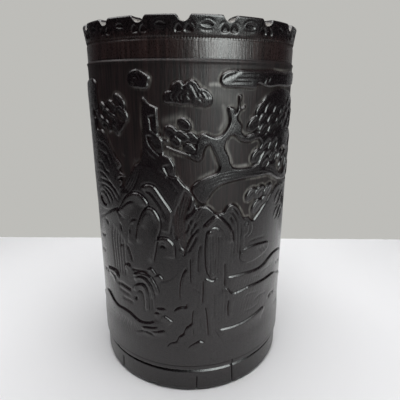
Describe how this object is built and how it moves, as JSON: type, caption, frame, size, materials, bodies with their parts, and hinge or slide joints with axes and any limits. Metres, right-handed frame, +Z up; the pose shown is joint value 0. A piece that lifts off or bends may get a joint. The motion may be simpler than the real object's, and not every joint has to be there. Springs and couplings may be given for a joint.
{
  "type": "brush holder pot",
  "caption": "Tall round bamboo pot with a carved landscape wall, a notched rim band and a let-in floor, for standing writing brushes in.",
  "frame": {"origin": "centre of the foot ring, on the face the pot rests on", "axes": "+Z up along the bore, -Y is the side seen in the picture"},
  "size_m": [0.0906, 0.0906, 0.151],
  "materials": {
    "dark_bamboo": "waxed, semi-gloss",
    "floor_wood": "oiled",
    "lacquer": "hardened lacquer"
  },
  "bodies": {
    "root": {"culm_wall": "dark_bamboo", "floor_disc": "floor_wood", "lacquer_bead": "lacquer"}
  },
  "joints": []
}
